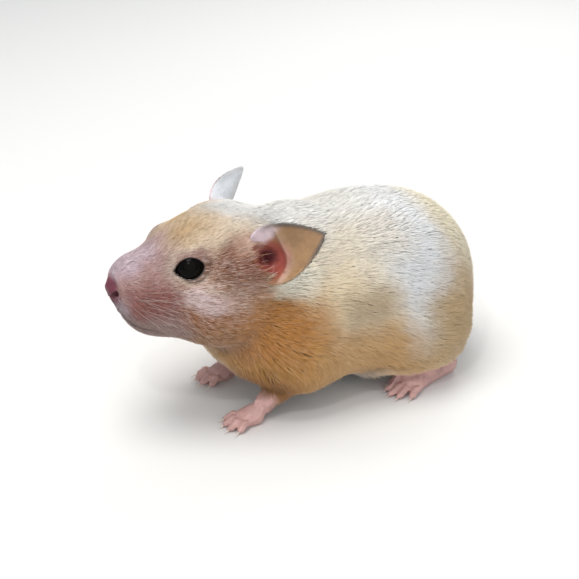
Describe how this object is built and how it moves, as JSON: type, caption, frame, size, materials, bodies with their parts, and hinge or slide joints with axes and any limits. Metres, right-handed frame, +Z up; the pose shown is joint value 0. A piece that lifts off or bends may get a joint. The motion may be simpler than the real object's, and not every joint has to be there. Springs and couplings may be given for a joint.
{
  "type": "syrian hamster",
  "caption": "Young golden-cream Syrian hamster that crouches on all fours with its head up: a still, life-size, museum-type figure that stands on its own feet.",
  "frame": {"origin": "on the floor, under the middle of the animal's box", "axes": "-X points from tail to nose, +X to the tail, -Y to the animal's left, +Z up from the floor"},
  "size_m": [0.0934, 0.0458, 0.0473],
  "materials": {
    "coat": "soft, dense, warm golden-cream fur",
    "pale_coat": "soft, dense, cream-white fur",
    "bare_skin": "thin pink skin with a faint down",
    "ear_skin": "thin, nearly bare, tan-pink skin with a dark rim",
    "eye": "wet, glossy black"
  },
  "bodies": {
    "root": {"head": "coat", "lower_jaw": "pale_coat", "nose": "bare_skin", "neck": "coat", "trunk": "coat", "tail": "bare_skin", "eye_left": "eye", "eye_right": "eye", "ear_left": "ear_skin", "ear_right": "ear_skin", "foreleg_left": "coat", "foreleg_right": "coat", "forepaw_left": "bare_skin", "forepaw_right": "bare_skin", "hindleg_left": "coat", "hindleg_right": "coat", "hindfoot_left": "bare_skin", "hindfoot_right": "bare_skin"}
  },
  "joints": []
}
